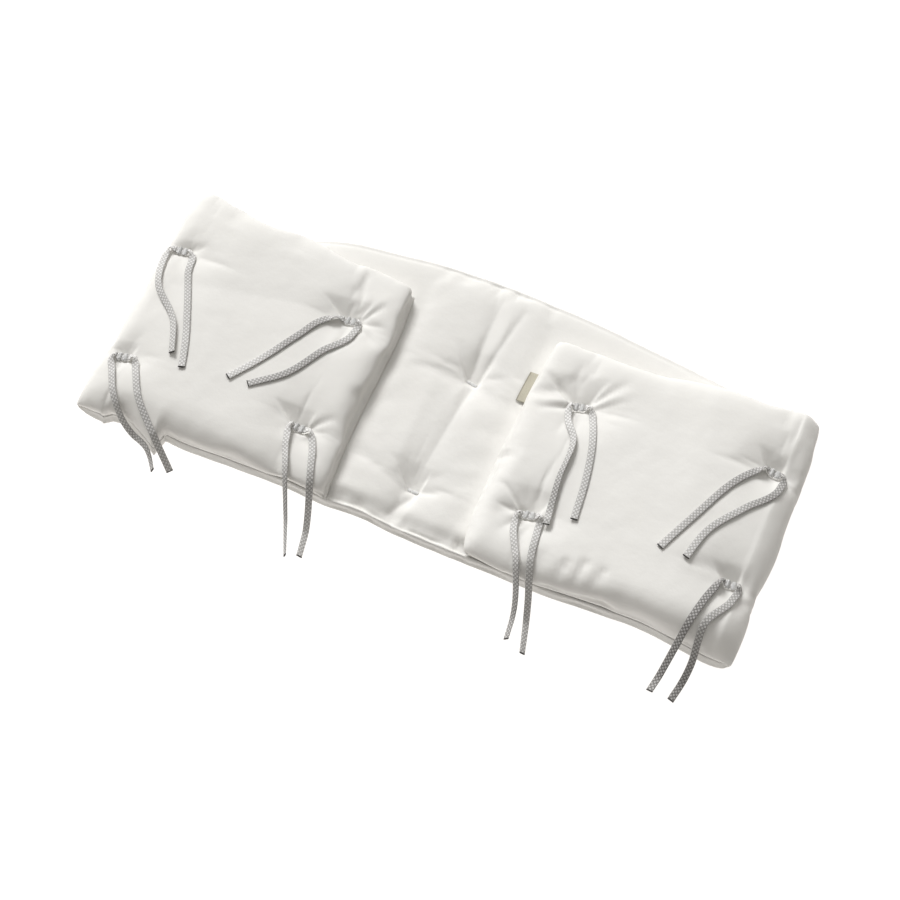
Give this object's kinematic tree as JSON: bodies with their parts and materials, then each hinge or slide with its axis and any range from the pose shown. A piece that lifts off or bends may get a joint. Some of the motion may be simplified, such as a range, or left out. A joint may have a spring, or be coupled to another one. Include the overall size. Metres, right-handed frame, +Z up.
{
  "type": "crib bumper",
  "caption": "Padded white cotton crib bumper, one long strip folded at both ends onto its middle, with woven tie tapes sewn through it and a bare label.",
  "frame": {"origin": "middle of the folded pad's footprint, on the surface that it lies on", "axes": "+X along the strip, towards the fold whose flap carries the label; +Y towards the arched back edge; +Z up"},
  "size_m": [0.7447, 0.3857, 0.0546],
  "materials": {
    "white_cotton": "matt plain-woven cotton over soft filling",
    "grey_check_tape": "matt woven tape in a fine grey and white check",
    "white_thread": "satin-stitched thread bar tack",
    "beige_label": "matt woven tape label, bare"
  },
  "bodies": {
    "root": {"pad": "white_cotton", "label": "beige_label", "tack_back": "white_thread", "tack_front": "white_thread", "tie_1_stitched": "grey_check_tape", "tie_2_stitched": "grey_check_tape", "tie_3_stitched": "grey_check_tape", "tie_4_stitched": "grey_check_tape", "tie_5_stitched": "grey_check_tape", "tie_6_stitched": "grey_check_tape", "tie_7_stitched": "grey_check_tape", "tie_8_stitched": "grey_check_tape", "tie_1_tape_a": "grey_check_tape", "tie_1_tape_b": "grey_check_tape", "tie_2_tape_a": "grey_check_tape", "tie_2_tape_b": "grey_check_tape", "tie_3_tape_a": "grey_check_tape", "tie_3_tape_b": "grey_check_tape", "tie_4_tape_a": "grey_check_tape", "tie_4_tape_b": "grey_check_tape", "tie_5_tape_a": "grey_check_tape", "tie_5_tape_b": "grey_check_tape", "tie_6_tape_a": "grey_check_tape", "tie_6_tape_b": "grey_check_tape", "tie_7_tape_a": "grey_check_tape", "tie_7_tape_b": "grey_check_tape", "tie_8_tape_a": "grey_check_tape", "tie_8_tape_b": "grey_check_tape"}
  },
  "joints": []
}
